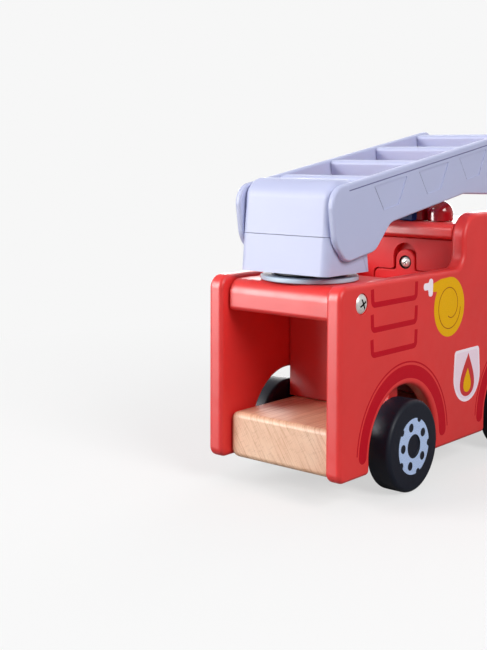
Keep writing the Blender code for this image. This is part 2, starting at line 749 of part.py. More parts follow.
def ladder_piece(obj, tilt):
    """Puts a piece that was drawn in the ladder's own frame, with the pivot as its origin, on the ladder."""
    obj.parent = tilt
    return obj


def ladder_plate(name, outline, x_low, x_high, tilt, finish_material=LILAC, cutter=False):
    obj = plate(name, [outline], x_low, x_high, finish_material, cutter)
    obj.location = Vector(((x_low + x_high) / 2, 0.0, 0.0)) * MM
    return ladder_piece(obj, tilt)


def ladder_box(name, x, a, v, tilt, rounding=0.0, finish_material=LILAC):
    """A box from (low, high) pairs in the ladder's frame."""
    obj = box(name, (x[0], -a[1], v[0]), (x[1], -a[0], v[1]), finish_material, rounding)
    return ladder_piece(obj, tilt)


def rail_outline():
    """The side of a base rail: a deep round ear at the pivot, a straight rail and a shallower front foot."""
    return rounded(
        [
            (-17.6, RAIL_TOP, 10.5),
            (-17.6, -6.0, 20.0),
            (-6.5, -23.0, 9.0),
            (17.0, -23.0, 12.0),
            (33.5, RAIL_LOW - 0.4, 11.0),
            (112.0, RAIL_LOW, 14.0),
            (RAIL_END - 40.0, RAIL_LOW - 6.0, 18.0),
            (RAIL_END, RAIL_LOW - 6.0, 11.0),
            (RAIL_END, RAIL_TOP, 8.0),
        ]
    )


def rails(tilt):
    for side, word in ((-1, "right"), (1, "left")):
        low, high = sorted((side * RAIL_IN, side * RAIL_OUT))
        rail = ladder_plate(f"ladder_rail_{word}", rail_outline(), low, high, tilt)
        bevel(rail, 1.1)
        ledge_low, ledge_high = sorted((side * LEDGE_IN, side * (RAIL_IN + 1.5)))
        ledge_v = EXT_LOW - 0.4
        ledge = [
            Vector((LEDGE_START, ledge_v - LEDGE_H)),
            Vector((RAIL_END - 6.0, ledge_v - LEDGE_H)),
            Vector((RAIL_END - 6.0, ledge_v)),
            Vector((LEDGE_START, ledge_v)),
        ]
        shelf = ladder_plate(f"ledge_{word}", ledge, ledge_low, ledge_high, tilt, None, cutter=True)
        cut(rail, shelf, "UNION")
        hole_low, hole_high = sorted((side * (RAIL_IN - 1), side * (PIN_HALF + GAP)))
        hole = rod(f"pin_socket_{word}", PIN_R + GAP, hole_low, hole_high, 0.0, 0.0, cutter=True)
        cut(rail, ladder_piece(hole, tilt))


def rungs(tilt):
    half = RAIL_IN - GAP
    for i in range(RUNG_COUNT):
        a = RUNG_FIRST + i * RUNG_PITCH
        ladder_box(
            f"ladder_rung_{i + 1}",
            (-half, half),
            (a - RUNG_T / 2, a + RUNG_T / 2),
            (RUNG_V - RUNG_H / 2, RUNG_V + RUNG_H / 2),
            tilt,
            rounding=1.8,
        )


def extension(tilt):
    for side, word in ((-1, "right"), (1, "left")):
        low, high = sorted((side * EXT_IN, side * EXT_OUT))
        outline = rectangle(EXT_START, EXT_END, EXT_LOW, EXT_TOP, (3.0, 5.0, 5.0, 3.0))
        bevel(ladder_plate(f"extension_rail_{word}", outline, low, high, tilt), 0.7, 1)
    half = EXT_IN - GAP
    middle = (EXT_LOW + EXT_TOP) / 2
    for i in range(RUNG_COUNT):
        a = EXT_RUNG_FIRST + i * EXT_RUNG_PITCH
        ladder_box(
            f"extension_rung_{i + 1}",
            (-half, half),
            (a - EXT_RUNG_T / 2, a + EXT_RUNG_T / 2),
            (middle - 4.0, middle + 4.0),
            tilt,
            rounding=1.4,
        )


def build():
    for side in (-1, 1):
        side_panel(side)
    floor_block()
    dowels()
    rear_deck()
    inner_boards()
    cab_rear_wall()
    wall_bracket()
    cab_roof()
    cab_nose()
    beacons()
    headlights()
    cab_fittings()
    side_screws()
    bracket_screw()
    axle_set("rear", REAR_WHEEL_S)
    axle_set("front", FRONT_WHEEL_S)
    turntable()
    turn = moving_empty("turret_turn", (0.0, y_at(TURRET_S), DISC_TOP))
    turret(turn)
    turret_hardware(turn)
    tilt = moving_empty("ladder_tilt", (0.0, y_at(PIVOT_S), PIVOT_Z), TILT_REST, turn)
    rails(tilt)
    rungs(tilt)
    ladder_piece(rod("ladder_pivot_pin", PIN_R, -PIN_HALF, PIN_HALF, 0.0, 0.0, STEEL, steps=20), tilt)
    slide = moving_empty("ladder_slide", (0.0, y_at(PIVOT_S), PIVOT_Z), 0.0, turn)
    slide.parent = tilt
    slide.location = (0.0, 0.0, 0.0)
    extension(slide)


build()
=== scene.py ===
"""Looks of the toy fire engine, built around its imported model.

Sizes are in millimetres. A place is (x, s, z): x towards the vehicle's left, s forward from the rear
edge of the side panels and z up from the ground. On the ladder a place is (x, a, v): a along the rails
from the pivot, and v square to them.
"""

import json
import math
from collections import namedtuple

import bmesh
import bpy
from mathutils import Matrix, Vector


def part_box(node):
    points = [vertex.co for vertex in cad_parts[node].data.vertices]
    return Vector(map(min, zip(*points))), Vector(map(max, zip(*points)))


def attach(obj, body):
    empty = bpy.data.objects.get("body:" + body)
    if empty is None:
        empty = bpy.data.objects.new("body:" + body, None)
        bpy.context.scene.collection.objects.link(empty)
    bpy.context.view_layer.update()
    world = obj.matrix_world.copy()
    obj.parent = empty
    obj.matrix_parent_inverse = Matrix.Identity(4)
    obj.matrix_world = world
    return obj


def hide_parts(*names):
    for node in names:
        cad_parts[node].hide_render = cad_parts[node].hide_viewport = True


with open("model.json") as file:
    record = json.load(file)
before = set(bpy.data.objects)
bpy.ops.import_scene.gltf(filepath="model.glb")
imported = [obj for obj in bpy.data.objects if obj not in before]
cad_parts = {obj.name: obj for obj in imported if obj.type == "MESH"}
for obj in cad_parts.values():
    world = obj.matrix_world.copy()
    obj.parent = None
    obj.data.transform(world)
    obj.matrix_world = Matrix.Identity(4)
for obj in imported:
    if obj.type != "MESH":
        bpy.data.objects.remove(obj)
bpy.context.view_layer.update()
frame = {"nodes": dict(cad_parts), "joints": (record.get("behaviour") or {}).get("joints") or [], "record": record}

MM = 0.001
RECORD = frame["record"]
BODY_OF = {node: body for body, nodes in RECORD["behaviour"]["bodies"].items() for node in nodes}
JOINTS = {joint["name"]: joint for joint in frame["joints"]}
REAR_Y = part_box("side_panel_right")[1].y

# Where finished pieces go: the body's frame, and the ladder's frame, which is tilted about its pivot
TILT = math.atan2(JOINTS["ladder_extend"]["axis"][2], -JOINTS["ladder_extend"]["axis"][1])
PIVOT = Vector(JOINTS["ladder_tilt"]["pos_m"])
PIVOT_S, PIVOT_Z = (REAR_Y - PIVOT.y) / MM, PIVOT.z / MM
TO_METRES = Matrix.Scale(MM, 4)
BODY = Matrix.Translation((0.0, REAR_Y, 0.0)) @ TO_METRES
LADDER = Matrix.Translation(PIVOT) @ Matrix.Rotation(-TILT, 4, "X") @ TO_METRES

# Planes of a flat outline: (s, z) with its thickness along x, and (x, z) with its thickness along s
SIDEWAYS = Matrix(((0, 0, -1), (-1, 0, 0), (0, 1, 0))).to_4x4()
ACROSS = Matrix(((1, 0, 0), (0, 0, -1), (0, 1, 0))).to_4x4()

SIDES = ((-1, "right"), (1, "left"))
GAP = 0.3  # the play between neighbours
BEYOND = 2.0  # how far a cutter reaches past a face


class Span(namedtuple("Span", "x0 x1 s0 s1 z0 z1")):
    """A piece's limits, and its middle as x, s and z."""

    @property
    def x(self):
        return (self.x0 + self.x1) / 2

    @property
    def s(self):
        return (self.s0 + self.s1) / 2

    @property
    def z(self):
        return (self.z0 + self.z1) / 2

    def outer(self, side):
        """The x of its face towards a side, -1 for the right one and 1 for the left one."""
        return self.x1 if side > 0 else self.x0


def span(node):
    """A CAD node's limits."""
    low, high = (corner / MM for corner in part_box(node))
    return Span(low.x, high.x, REAR_Y / MM - high.y, REAR_Y / MM - low.y, low.z, high.z)


def on_side(side, near, far):
    """The low and high x of what lies between two distances from the middle, on one side."""
    return sorted((side * near, side * far))


# ---------------------------------------------------------------- materials


def srgb(red, green, blue):
    """A colour as the eye reads it, 0 to 255, in the renderer's linear units."""
    linear = []
    for channel in (red, green, blue):
        share = channel / 255
        linear.append(share / 12.92 if share < 0.041 else ((share + 0.055) / 1.055) ** 2.4)
    return (*linear, 1.0)


def shaded(colour, factor):
    """A colour made darker or paler."""
    return (*(min(1.0, channel * factor) for channel in colour[:3]), 1.0)


class Nodes:
    """A node tree made step by step. A value is a number, a tuple or another node's output."""

    def __init__(self, tree):
        self.tree = tree

    def feed(self, socket, value):
        """Links an input to another node's output, or sets it."""
        if isinstance(value, bpy.types.NodeSocket):
            self.tree.links.new(value, socket)
        else:
            socket.default_value = value

    def set(self, node, **inputs):
        """Feeds a node's inputs by their names."""
        for key, value in inputs.items():
            self.feed(node.inputs[key.replace("_", " ")], value)

    def add(self, kind, settings=None, **inputs):
        """A new node, with settings such as its operation."""
        node = self.tree.nodes.new("ShaderNode" + kind)
        for key, value in (settings or {}).items():
            setattr(node, key, value)
        self.set(node, **inputs)
        return node

    def number(self, kind, operation, *values):
        """What a Math or VectorMath node makes of its values, as one number."""
        node = self.add(kind, {"operation": operation})
        for socket, value in zip(node.inputs, values):
            self.feed(socket, value)
        return node.outputs["Value"]

    def dot(self, first, second):
        return self.number("VectorMath", "DOT_PRODUCT", first, second)

    def product(self, first, second):
        return self.number("Math", "MULTIPLY", first, second)

    def remap(self, value, low, high, to_low=0.0, to_high=1.0):
        limits = {"From_Min": low, "From_Max": high, "To_Min": to_low, "To_Max": to_high}
        return self.add("MapRange", Value=value, **limits).outputs[0]

    def mix(self, factor, first, second):
        """Two colours mixed. Inputs 0, 6 and 7 and output 2 are the node's colour ones."""
        node = self.add("Mix", {"data_type": "RGBA"})
        for index, value in ((0, factor), (6, first), (7, second)):
            self.feed(node.inputs[index], value)
        return node.outputs[2]

    def mix_shaders(self, factor, first, second):
        node = self.add("MixShader")
        for socket, value in zip(node.inputs, (factor, first, second)):
            self.feed(socket, value)
        return node.outputs[0]


class Finish(Nodes):
    """A material. Its coordinates are the object's own, in metres."""

    def __init__(self, name, **inputs):
        self.material = bpy.data.materials.new(name)
        self.material.use_nodes = True
        super().__init__(self.material.node_tree)
        self.place = self.add("TexCoord").outputs["Object"]
        self.shade(**inputs)

    def shade(self, **inputs):
        self.set(self.tree.nodes["Principled BSDF"], **inputs)

    def noise(self, scale, detail=2.0, stretch=(1.0, 1.0, 1.0)):
        place = self.add("Mapping", Vector=self.place, Scale=stretch).outputs[0]
        return self.add("TexNoise", Vector=place, Scale=scale, Detail=detail).outputs[0]

    def streaks(self, across, along, length, scales, detail):
        """Noise over three lengths, each with its own scale."""
        place = self.add("CombineXYZ", X=across, Y=along, Z=length).outputs[0]
        place = self.add("Mapping", Vector=place, Scale=scales).outputs[0]
        return self.add("TexNoise", Vector=place, Scale=1.0, Detail=detail).outputs[0]

    def bump(self, height, strength, distance_mm, normal=None):
        inputs = {"Height": height, "Strength": strength, "Distance": distance_mm * MM}
        if normal:
            inputs["Normal"] = normal
        return self.add("Bump", **inputs).outputs[0]

    def edges(self, radius_mm):
        """1 on the object's rounded edges and corners, 0 on its flat faces."""
        soft = self.add("Bevel", {"samples": 4}, Radius=radius_mm * MM).outputs[0]
        flat = self.add("NewGeometry").outputs["Normal"]
        return self.remap(self.dot(soft, flat), 0.995, 0.90)


def painted(name, colour, roughness=0.42, coat=0.0, edge=0.10, grain=0.16, sheen=0.5):
    """Sprayed paint on wood. The grain shows through faintly, and rounded edges are a little paler: partly wear,
    partly a painted highlight.
    """
    finish = Finish(name, Coat_Weight=coat, Coat_Roughness=0.12, Specular_IOR_Level=sheen)
    broad = finish.remap(finish.noise(24.0), 0.3, 0.7)
    tone = finish.mix(broad, shaded(colour, 0.95), shaded(colour, 1.04))
    # Paler rounded edges: partly wear, partly a painted highlight along the edges.
    rubbed_and_highlit = finish.product(finish.edges(1.0), edge)
    pale = tuple(0.72 * channel + 0.20 for channel in colour[:3]) + (1.0,)
    finish.shade(Base_Color=finish.mix(rubbed_and_highlit, tone, pale))
    fibres = finish.noise(1100.0, 3.0, (1.0, 0.09, 1.0))
    spray = finish.noise(1500.0, 1.0)
    height = finish.bump(fibres, grain, 0.12)
    finish.shade(Normal=finish.bump(spray, 0.06, 0.06, height))
    patches = finish.noise(160.0, 3.0)
    finish.shade(Roughness=finish.remap(patches, 0.3, 0.7, roughness - 0.05, roughness + 0.06))
    return finish.material


def beech(name):
    """Bare sanded beech with its grain along Y: lines on the faces and a slanting hatch on the ends."""
    finish = Finish(name)
    slant = math.radians(57.0)
    across = finish.dot(finish.place, (math.sin(slant), 0.0, -math.cos(slant)))
    along = finish.dot(finish.place, (math.cos(slant), 0.0, math.sin(slant)))
    length = finish.dot(finish.place, (0.0, 1.0, 0.0))
    rings = finish.streaks(across, along, length, (1350.0, 55.0, 12.0), 2.0)
    hatch = finish.streaks(across, along, length, (260.0, 1500.0, 20.0), 1.0)
    flecks = finish.streaks(across, along, length, (1900.0, 160.0, 60.0), 1.0)
    broad = finish.remap(finish.noise(45.0), 0.35, 0.65)
    base = finish.mix(broad, srgb(240, 192, 158), srgb(246, 206, 174))
    ringed = finish.mix(finish.remap(rings, 0.46, 0.70, 0.0, 0.62), base, srgb(206, 148, 108))
    hatched = finish.mix(finish.remap(hatch, 0.56, 0.76, 0.0, 0.28), ringed, srgb(192, 134, 96))
    flecked = finish.remap(flecks, 0.62, 0.80, 0.0, 0.4)
    finish.shade(Base_Color=finish.mix(flecked, hatched, srgb(166, 106, 68)))
    finish.shade(Normal=finish.bump(rings, 0.25, 0.10))
    finish.shade(Roughness=finish.remap(rings, 0.3, 0.7, 0.46, 0.58))
    return finish.material


def plastic(name, colour, roughness=0.34):
    """Moulded plastic with a fine spark-eroded texture and a slight glow under the surface."""
    finish = Finish(name, Subsurface_Weight=0.12, Subsurface_Scale=3 * MM, Subsurface_Radius=(1.0, 1.0, 1.0))
    cloudy = finish.remap(finish.noise(30.0), 0.3, 0.7)
    finish.shade(Base_Color=finish.mix(cloudy, shaded(colour, 0.99), shaded(colour, 1.01)))
    finish.shade(Normal=finish.bump(finish.noise(3200.0, 1.0), 0.05, 0.05))
    patches = finish.noise(700.0)
    finish.shade(Roughness=finish.remap(patches, 0.3, 0.7, roughness - 0.02, roughness + 0.03))
    return finish.material


def metal(name, colour, roughness, metallic=1.0):
    """Bright zinc plating with a faint turned sheen and small dull spots."""
    finish = Finish(name, Metallic=metallic)
    spots = finish.remap(finish.noise(900.0, 3.0), 0.45, 0.75)
    finish.shade(Base_Color=finish.mix(spots, colour, shaded(colour, 0.82)))
    brushed = finish.noise(1400.0, 2.0)
    finish.shade(Roughness=finish.remap(brushed, 0.3, 0.7, roughness - 0.06, roughness + 0.1))
    finish.shade(Normal=finish.bump(finish.noise(2600.0, 1.0, (1.0, 0.2, 1.0)), 0.06, 0.04))
    return finish.material


def printed(name, colour, speckle=0.10):
    """Screen-printed ink: a flat, rather dull colour with a fine speckle."""
    finish = Finish(name, Specular_IOR_Level=0.12)
    grainy = finish.remap(finish.noise(1900.0, 2.0), 0.35, 0.65)
    finish.shade(Base_Color=finish.mix(grainy, shaded(colour, 1 - speckle), shaded(colour, 1 + speckle)))
    finish.shade(Normal=finish.bump(finish.noise(1500.0, 1.0), 0.06, 0.05))
    finish.shade(Roughness=finish.remap(finish.noise(300.0), 0.3, 0.7, 0.38, 0.48))
    return finish.material


RED = painted("red_paint", srgb(230, 54, 52), 0.40)
# A darker, duller copy of the red paint for the cab's rear wall and its bracket: painted shade, with less sheen
# where reflections are blocked.
DULL_SHADED_RED = painted("dull_red_paint_painted_shade", srgb(222, 44, 48), 0.50, sheen=0.15)
BEECH = beech("bare_beech")
LILAC = plastic("lilac_plastic", srgb(188, 193, 225), 0.52)
# Darker lilacs for the faces cut by the rail's grooves: painted shade in the grooves.
GROOVE_SHADE = plastic("lilac_groove_painted_shade", srgb(132, 132, 178), 0.55)
STRUT_GROOVE_SHADE = plastic("strut_groove_painted_shade", srgb(84, 78, 132), 0.55)
DISC = plastic("pale_disc_plastic", srgb(186, 204, 222), 0.42)
# Near-black red lining the bracket's screw seat: painted shade in the recess.
SCREW_SEAT_SHADE = painted("screw_seat_painted_shade", srgb(64, 16, 20), 0.6, edge=0.0, sheen=0.1)
NAVY = painted("navy_paint", srgb(12, 18, 34), 0.50, edge=0.05, grain=0.06, sheen=0.35)
BLUE = painted("blue_paint", srgb(24, 50, 108), 0.48, edge=0.04, sheen=0.15)
BEACON = painted("beacon_lacquer", srgb(165, 16, 28), 0.18, coat=0.7, edge=0.05, grain=0.04)
CREAM = painted("cream_paint", srgb(246, 232, 196), 0.34, coat=0.3)
ZINC = metal("zinc_plate", srgb(246, 244, 240), 0.32, 0.55)
# Dark brown zinc for the faces of the Phillips recess: painted shade in the cross.
RECESS_SHADE = metal("zinc_recess_painted_shade", srgb(70, 58, 48), 0.5)
INK_RED = printed("ink_dark_red", srgb(196, 12, 34), 0.05)
INK_YELLOW = printed("ink_yellow", srgb(238, 178, 6), 0.06)
INK_BROWN = printed("ink_brown", srgb(170, 88, 18))
INK_WHITE = printed("ink_white", srgb(252, 238, 248), 0.02)
INK_LILAC = printed("ink_lilac", srgb(246, 222, 236), 0.03)
INK_FLAME = printed("ink_flame", srgb(208, 60, 62), 0.05)
INK_HUB = printed("ink_hub", srgb(182, 203, 242), 0.16)


# ---------------------------------------------------------------- outlines


def rounded(corners, step=math.radians(7)):
    """The points of an outline whose corners (x, y, radius) are rounded to their radius."""
    points = []
    for before, corner, after in zip(corners[-1:] + corners[:-1], corners, corners[1:] + corners[:1]):
        here = Vector(corner[:2])
        if len(corner) < 3 or not corner[2]:
            points.append(here)
            continue
        back = (Vector(before[:2]) - here).normalized()
        ahead = (Vector(after[:2]) - here).normalized()
        half = back.angle(ahead) / 2
        centre = here + (back + ahead).normalized() * corner[2] / math.sin(half)
        start = here + back * corner[2] / math.tan(half) - centre
        turn = start.angle_signed(here + ahead * corner[2] / math.tan(half) - centre)
        count = max(2, math.ceil(abs(turn) / step))
        for i in range(count + 1):
            points.append(centre + start @ Matrix.Rotation(turn * i / count, 2))
    return points


def arc(centre, radius, start, end, count=24):
    """Points on a circle from one angle to another, in degrees."""
    angles = (math.radians(start + (end - start) * i / count) for i in range(count + 1))
    return [Vector((centre[0] + radius * math.cos(a), centre[1] + radius * math.sin(a))) for a in angles]


def circle(centre, radius, count=48):
    return arc(centre, radius, 0, 360, count)[:-1]


def rectangle(low, high, radii=(0, 0, 0, 0)):
    """A rectangle whose radii are those of its rear low, front low, front high and rear high corners."""
    places = ((low[0], low[1]), (high[0], low[1]), (high[0], high[1]), (low[0], high[1]))
    return rounded([(*place, radius) for place, radius in zip(places, radii)])


def stroke(points, width):
    """The outline of a line of even width along a path, with square ends."""
    left, right = [], []
    for i, point in enumerate(points):
        before, after = points[max(i - 1, 0)], points[min(i + 1, len(points) - 1)]
        along = (after - before).normalized()
        aside = Vector((-along.y, along.x)) * width / 2
        left.append(point + aside)
        right.append(point - aside)
    return left + right[::-1]


def offset(points, distance):
    """An anticlockwise outline moved outwards, square to itself."""
    moved = []
    for before, here, after in zip(points[-1:] + points[:-1], points, points[1:] + points[:1]):
        along = (after - before).normalized()
        moved.append(here + Vector((along.y, -along.x)) * distance)
    return moved


# ---------------------------------------------------------------- solids, in millimetres

OUTLINE_WELD, TURNED_WELD = 0.005, 0.002
STRAIGHT, CORNER = math.radians(0.5), math.radians(40)


def spot(x, s, z):
    """A place as a vector, whose Y runs backwards."""
    return Vector((x, -s, z))


def working(mesh):
    """A passing object for modifiers to work on."""
    obj = bpy.data.objects.new("working", mesh)
    bpy.context.scene.collection.objects.link(obj)
    return obj


def from_bmesh(bm):
    bmesh.ops.recalc_face_normals(bm, faces=bm.faces)
    mesh = bpy.data.meshes.new("working")
    bm.to_mesh(mesh)
    bm.free()
    return working(mesh)


def apply_modifiers(obj):
    graph = bpy.context.evaluated_depsgraph_get()
    mesh = bpy.data.meshes.new_from_object(obj.evaluated_get(graph), depsgraph=graph)
    obj.modifiers.clear()
    obj.data = mesh
    return obj


def extruded(outlines, low, high, plane=SIDEWAYS):
    """A flat outline with holes, pushed from low to high along x, or along s in the ACROSS plane."""
    middle = (low + high) / 2
    shift = Vector((middle, 0, 0)) if plane is SIDEWAYS else Vector((0, -middle, 0))
    curve = bpy.data.curves.new("outline", "CURVE")
    curve.dimensions = "2D"
    curve.fill_mode = "BOTH"
    curve.extrude = (high - low) / 2
    for outline in outlines:
        spline = curve.splines.new("POLY")
        spline.points.add(len(outline) - 1)
        for point, (across, up) in zip(spline.points, outline):
            point.co = (across, up, 0.0, 1.0)
        spline.use_cyclic_u = True
    flat = bpy.data.objects.new("outline", curve)
    bpy.context.scene.collection.objects.link(flat)
    graph = bpy.context.evaluated_depsgraph_get()
    mesh = bpy.data.meshes.new_from_object(flat.evaluated_get(graph))
    bpy.data.objects.remove(flat)
    bm = bmesh.new()
    bm.from_mesh(mesh)
    bmesh.ops.remove_doubles(bm, verts=bm.verts, dist=OUTLINE_WELD)
    bmesh.ops.dissolve_limit(bm, angle_limit=STRAIGHT, verts=bm.verts, edges=bm.edges)
    bmesh.ops.transform(bm, matrix=Matrix.Translation(shift) @ plane, verts=bm.verts)
    return from_bmesh(bm)


def block(x, s, z):
    """A box from its (low, high) pairs."""
    bm = bmesh.new()
    bmesh.ops.create_cube(bm, size=1.0)
    bmesh.ops.scale(bm, vec=(x[1] - x[0], s[1] - s[0], z[1] - z[0]), verts=bm.verts)
    bmesh.ops.translate(bm, vec=spot(sum(x) / 2, sum(s) / 2, sum(z) / 2), verts=bm.verts)
    return from_bmesh(bm)


def block_of(limits):
    return block((limits.x0, limits.x1), (limits.s0, limits.s1), (limits.z0, limits.z1))


def cylinder(radius, start, end, steps=48):
    """A cylinder between two places."""
    start, end = spot(*start), spot(*end)
    bm = bmesh.new()
    depth = (end - start).length
    bmesh.ops.create_cone(bm, cap_ends=True, segments=steps, radius1=radius, radius2=radius, depth=depth)
    turn = Vector((0, 0, 1)).rotation_difference(end - start).to_matrix().to_4x4()
    bmesh.ops.transform(bm, matrix=Matrix.Translation((start + end) / 2) @ turn, verts=bm.verts)
    return from_bmesh(bm)


def turned(profile, centre, axis=(0, 0, 1), steps=96):
    """A turned solid from (radius, height) points. Its height runs along axis, from centre."""
    bm = bmesh.new()
    verts = [bm.verts.new((radius, 0.0, height)) for radius, height in profile]
    edges = [bm.edges.new(pair) for pair in zip(verts, verts[1:])]
    bmesh.ops.spin(bm, geom=verts + edges, cent=(0, 0, 0), axis=(0, 0, 1), angle=math.tau, steps=steps,
                   use_merge=True)
    bmesh.ops.remove_doubles(bm, verts=bm.verts, dist=TURNED_WELD)
    turn = Vector((0, 0, 1)).rotation_difference(spot(*axis)).to_matrix().to_4x4()
    bmesh.ops.transform(bm, matrix=Matrix.Translation(spot(*centre)) @ turn, verts=bm.verts)
    return from_bmesh(bm)


def lofted(rings):
    """A closed solid through rings of equally many places."""
    bm = bmesh.new()
    loops = [[bm.verts.new(place) for place in ring] for ring in rings]
    for one, other in zip(loops, loops[1:]):
        for i in range(len(one)):
            after = (i + 1) % len(one)
            bm.faces.new((one[i], one[after], other[after], other[i]))
    bm.faces.new(loops[0])
    bm.faces.new(loops[-1])
    return from_bmesh(bm)


def flared(outline, low, high, lip):
    """A cutter for a board from low to high along x, whose hole gets rims rounded to the radius lip."""
    steps = [math.radians(90 - 18 * i) for i in range(6)]
    quarter = [(lip * (1 - math.cos(turn)), lip * (1 - math.sin(turn))) for turn in steps]
    rings = [(lip, low - 1.0)] + [(grow, low + depth) for grow, depth in quarter]
    rings += [(grow, high - depth) for grow, depth in reversed(quarter)] + [(lip, high + 1.0)]
    return lofted([[spot(x, *point) for point in offset(outline, grow)] for grow, x in rings])


def round_edges(obj, width, segments=4):
    modifier = obj.modifiers.new("rounding", "BEVEL")
    modifier.width = width
    modifier.segments = segments
    modifier.limit_method = "ANGLE"
    modifier.angle_limit = CORNER
    return apply_modifiers(obj)


def bar(limits, radii, rounding, segments=4):
    """A bar along x. radii are its section's, as in rectangle(), and rounding is that of its ends."""
    section = rectangle((limits.s0, limits.z0), (limits.s1, limits.z1), radii)
    return round_edges(extruded([section], limits.x0, limits.x1), rounding, segments)


def toned(obj, finish):
    """Gives a solid its finish early, or a cutter the finish of the faces that it cuts."""
    obj.data.materials.append(finish)
    return obj


def combine(obj, tool, operation="DIFFERENCE"):
    """Cuts, joins or keeps the overlap with another solid, which is used up."""
    modifier = obj.modifiers.new("combine", "BOOLEAN")
    modifier.operation = operation
    modifier.object = tool
    if tool.data.materials:
        modifier.material_mode = "TRANSFER"
    apply_modifiers(obj)
    bpy.data.objects.remove(tool)
    return obj


def deliver(obj, name, finish, node, place=BODY, replaces=True, sharp=34):
    """Gives a finished solid its place, shading, material and body."""
    if not any(obj.data.materials):
        obj.data.materials.clear()
        obj.data.materials.append(finish)
    obj.data.transform(place)
    obj.data.shade_smooth()
    obj.data.set_sharp_from_angle(angle=math.radians(sharp))
    shading = obj.modifiers.new("shading", "WEIGHTED_NORMAL")
    shading.keep_sharp = True
    apply_modifiers(obj)
    obj.name = name
    obj.data.name = name
    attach(obj, BODY_OF[node])
    if replaces:
        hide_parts(node)
    return obj


def fine(obj, node, finish, place=BODY, sharp=34):
    """Delivers a piece that stands for one CAD node."""
    return deliver(obj, f"fine_{node}", finish, node, place, sharp=sharp)


# ---------------------------------------------------------------- driving sizes

RIGHT = span("side_panel_right")
DECK = span("rear_deck")
ROOF = span("cab_roof")
FLOOR = span("floor_block")
WALL = span("cab_rear_wall")
NOSE = span("cab_nose")
SCREW = span("deck_screw_right")
ROOF_SCREW = span("roof_screw_right")
WHEEL = span("rear_wheel_right")

WHEEL_R = (WHEEL.z1 - WHEEL.z0) / 2
REAR_WHEEL_S, FRONT_WHEEL_S = WHEEL.s, span("front_wheel_right").s
ARCH_BACK, ARCH_Z, ARCH_R = 0.6, WHEEL_R - 0.9, 32.2  # an arch's centre is a little behind its wheel's
DECK_LEVEL, SHOULDER_S = DECK.z1 + 2.0, 121.0
PANEL_ROUNDING = 2.5
HEAD_R, SEAT_DEPTH = (SCREW.z1 - SCREW.z0) / 2, 2.0
AXLE_HOLE_R, BOLT_HOLE_R = 2.8, 3.4
BOLT_HEAD_HOLE_R, BOLT_HEAD_HOLE_DEPTH = 9.5, 5.6
SPIGOT_R, SPIGOT_HOLE_R = 2.5, 2.8
ROOF_HOLE_DEPTH, NOSE_HOLE_DEPTH = 5.6, 6.0


# ---------------------------------------------------------------- prints

PRINT_PROUD, PRINT_DEPTH = 0.06, 0.25
BAND_IN, BAND_OUT, BAND_LINE, BAND_LINE_T, BAND_FOOT = 35.7, 42.6, 44.3, 0.8, 2.0


def side_print(name, outlines, finish, layer=1):
    """Ink on both side panels. A higher layer lies on a lower one."""
    for side, word in SIDES:
        face = abs(span(f"side_panel_{word}").outer(side))
        ink = extruded(outlines, *on_side(side, face - PRINT_DEPTH, face + PRINT_PROUD * layer))
        deliver(ink, f"{name}_{word}", finish, f"side_panel_{word}", replaces=False)


def arch_print(name, centre_s):
    """The dark band and thin line that follow a wheel arch."""
    middle, width = (BAND_IN + BAND_OUT) / 2, BAND_OUT - BAND_IN
    centre = (centre_s, ARCH_Z)
    foot = math.degrees(BAND_FOOT / middle)
    ends = []
    for angle, start in ((foot, 180), (180 - foot, 0)):
        x = centre_s + middle * math.cos(math.radians(angle))
        z = ARCH_Z + middle * math.sin(math.radians(angle))
        ends.append(arc((x, z), width / 2, start + angle, start + angle + 180, 12))
    outer = arc(centre, BAND_OUT, foot, 180 - foot, 60)
    inner = arc(centre, BAND_IN, 180 - foot, foot, 60)
    side_print(f"{name}_band", [outer + ends[1][1:-1] + inner + ends[0][1:-1]], INK_RED)
    side_print(f"{name}_line", [stroke(arc(centre, BAND_LINE, 4, 176, 72), BAND_LINE_T)], INK_RED)


def louvre_prints():
    """Three dark U shapes, one above another."""
    left, right, top, low, pitch, width = 28.2, 69.4, 108.6, 100.6, 12.65, 2.8
    for i in range(3):
        drop = pitch * i
        line = rounded([(left - 0.6, top - drop), (left, low - drop, 2.2), (right, low - drop, 2.2),
                        (right + 0.4, top + 0.4 - drop)])
        side_print(f"louvre_{i + 1}", [stroke(line, width)], INK_RED)


def hose_print():
    """A coiled yellow hose with a pale nozzle."""
    centre, radius = (104.5, 92.0), 16.4
    coil = arc(centre, radius, 90, -215, 72)
    tail = [(86.4, 101.9), (86.0, 106.0), (95.0, 108.0)]
    side_print("hose", [[*coil, *(Vector(point) for point in tail)]], INK_YELLOW)
    turns = []
    for i in range(97):
        share = i / 96
        angle = math.radians(-5.0 - 461.0 * share)
        reach = 12.0 - 7.0 * share**3
        turns.append(Vector((centre[0] + reach * math.cos(angle), centre[1] + reach * math.sin(angle))))
    side_print("hose_spiral", [stroke(turns, 0.5)], INK_BROWN, layer=2)
    nozzle = [(86.3, 99.6, 1.6), (86.6, 109.3, 1.9), (82.5, 109.1, 1.9), (82.3, 107.1, 0.9),
              (77.0, 107.1, 1.7), (77.0, 103.3, 1.7), (81.9, 103.3, 0.9), (82.1, 99.6, 1.8)]
    side_print("hose_nozzle", [rounded(nozzle)], INK_WHITE, layer=2)


def shield(centre_s, inset):
    """A shield with a flat top and a U-shaped foot."""
    half, top, waist, reach = 15.0 - inset, 66.3 - inset, 51.2, 14.9 - inset
    foot = [(centre_s + half * math.cos(math.radians(a)), waist - reach * math.sin(math.radians(a)))
            for a in range(0, 181, 5)]
    return rounded([*((s, z, 0) for s, z in foot), (centre_s - half + 1.2, top, 2.4),
                    (centre_s + half - 1.2, top, 2.4)])


